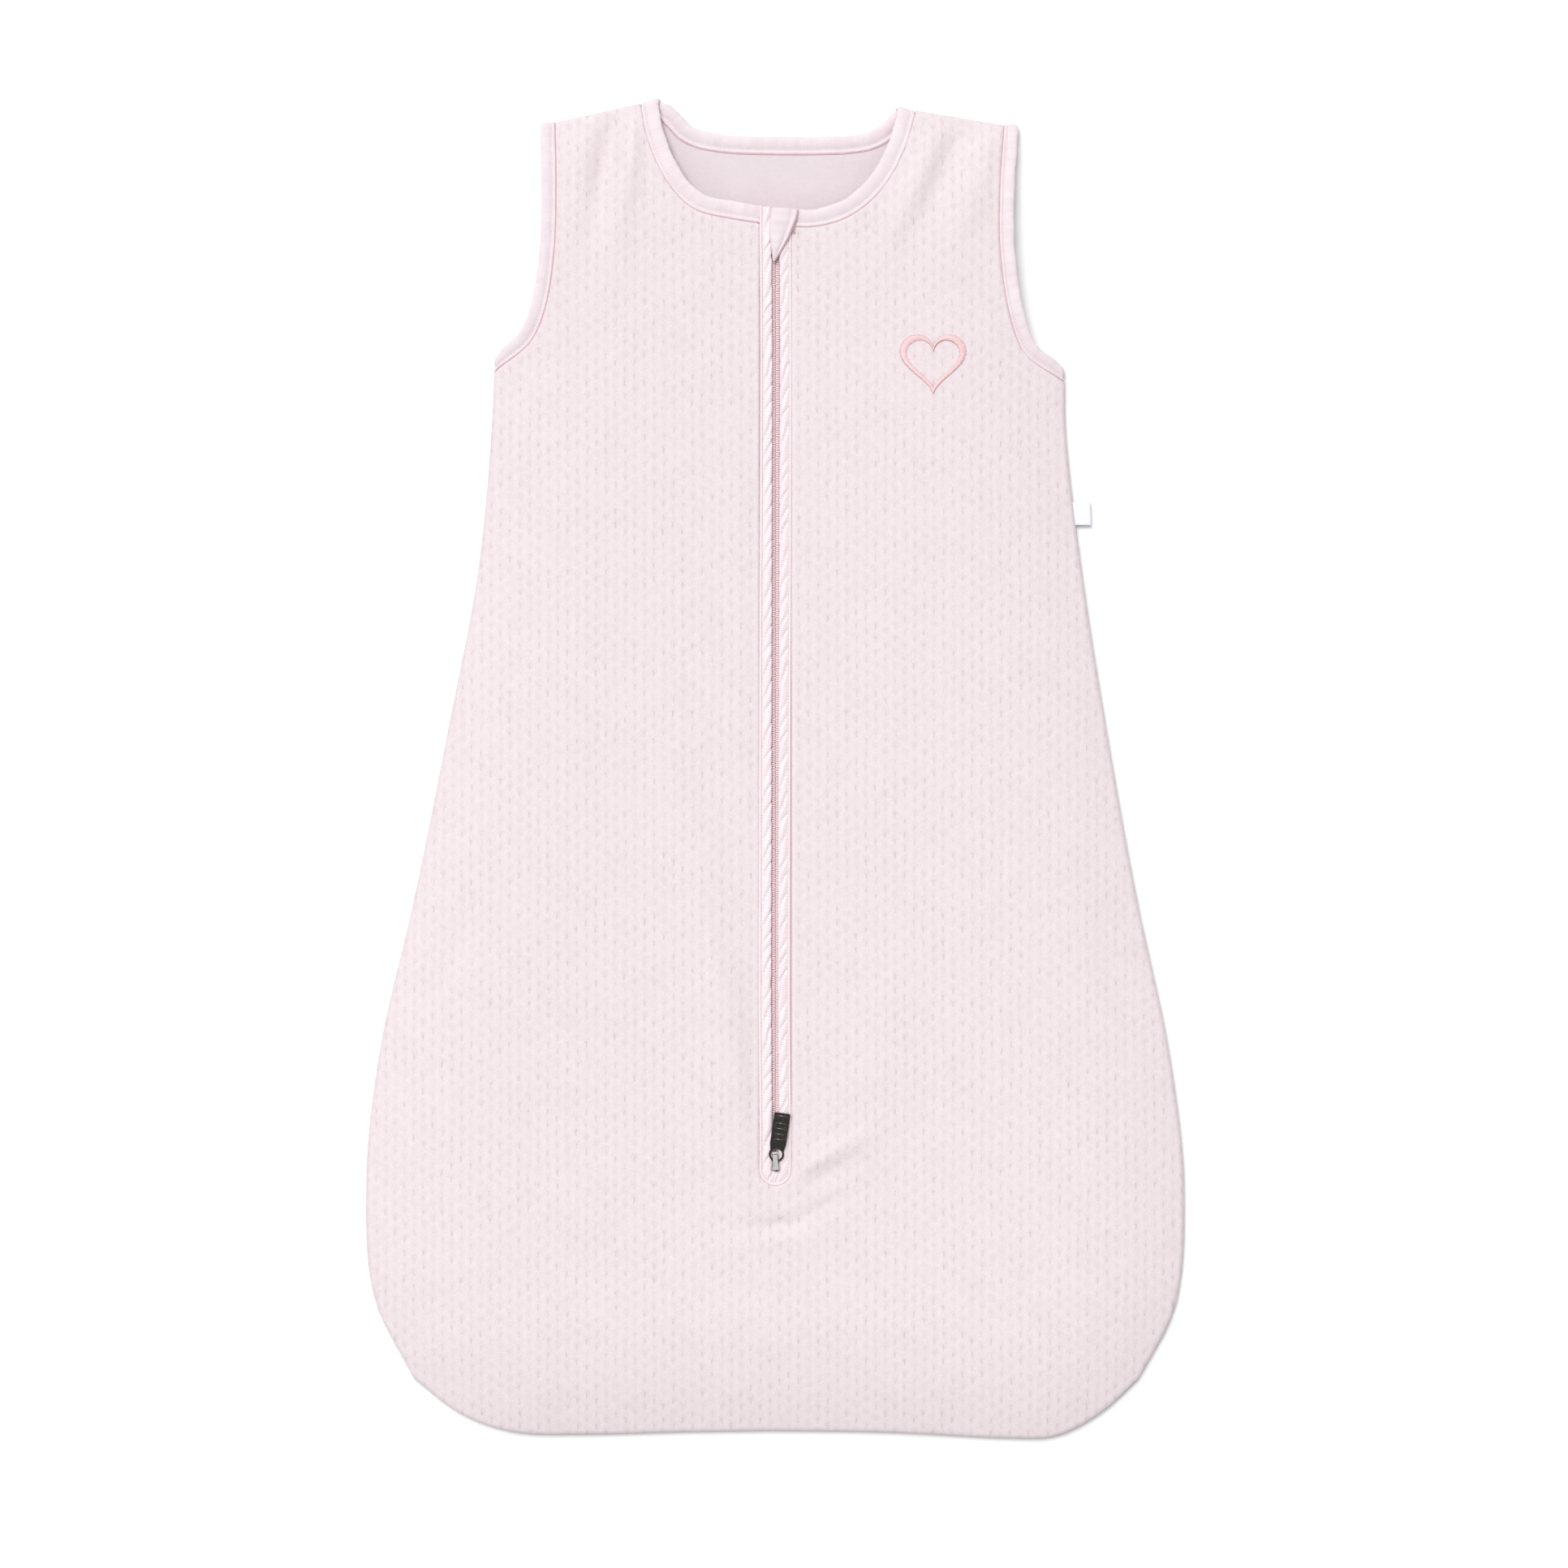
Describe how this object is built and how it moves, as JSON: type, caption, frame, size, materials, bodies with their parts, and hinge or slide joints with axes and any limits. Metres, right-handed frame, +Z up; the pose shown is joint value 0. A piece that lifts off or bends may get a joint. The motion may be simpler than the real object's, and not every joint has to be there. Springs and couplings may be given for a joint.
{
  "type": "baby sleeping bag",
  "caption": "Sleeveless baby sleeping bag in padded knit, open at neck and armholes, with a centre-front zip, a pull that closes it at the foot end, a zip guard and bound edges.",
  "frame": {"origin": "on the flat underside of the back panel, on the line of the zip, half way up the bag", "axes": "+X towards the embroidered side, +Y from the foot to the neck, +Z up out of the front"},
  "size_m": [0.4267, 0.6967, 0.0218],
  "materials": {
    "knit": "soft padded double knit with a brick pattern of small dimples",
    "binding": "plain fine jersey",
    "satin": "smooth satin bias strip",
    "zip_tape": "woven tape",
    "zip_coil": "nylon coil",
    "zip_plastic": "moulded, smooth",
    "bright_metal": "bright nickel plate",
    "dark_metal": "dark gunmetal plate",
    "label": "blank white satin tape",
    "seam_thread": "overlocked seam allowance",
    "embroidery_thread": "satin-stitched rayon thread",
    "interlining": "matt non-woven backing"
  },
  "bodies": {
    "bag": {"back_panel": "knit", "front_panel": "knit", "neck_binding": "binding", "armhole_binding_left": "binding", "armhole_binding_right": "binding", "shoulder_seam_left": "seam_thread", "shoulder_seam_right": "seam_thread", "side_and_foot_seam": "seam_thread", "side_label": "label", "embroidered_heart": "embroidery_thread", "embroidery_backing": "interlining", "zip_facing": "satin", "zip_tape_left": "zip_tape", "zip_tape_right": "zip_tape", "zip_coil_left": "zip_coil", "zip_coil_right": "zip_coil", "zip_foot_stop_left": "zip_plastic", "zip_foot_stop_right": "zip_plastic", "zip_pin": "zip_plastic", "zip_retainer_box": "zip_plastic"},
    "slider": {"slider_body": "bright_metal", "slider_crown": "bright_metal"},
    "pull": {"pull_tab": "dark_metal"},
    "guard": {"zip_guard": "binding"}
  },
  "joints": [
    {"name": "zip_slide", "type": "slide", "parent": "bag", "child": "slider", "axis": [0, 1, -0.0071], "range_m": [0, 0.44]},
    {"name": "pull_hinge", "type": "hinge", "parent": "slider", "child": "pull", "pos_m": [0.0002, -0.20349, 0.0199], "axis": [0.989, -0.1478, 0.001], "range_deg": [0, 180]},
    {"name": "guard_hinge", "type": "hinge", "parent": "bag", "child": "guard", "pos_m": [0.0122, 0.29, 0.01738], "axis": [0.189, 0.982, -0.007], "range_deg": [0, 150]}
  ]
}
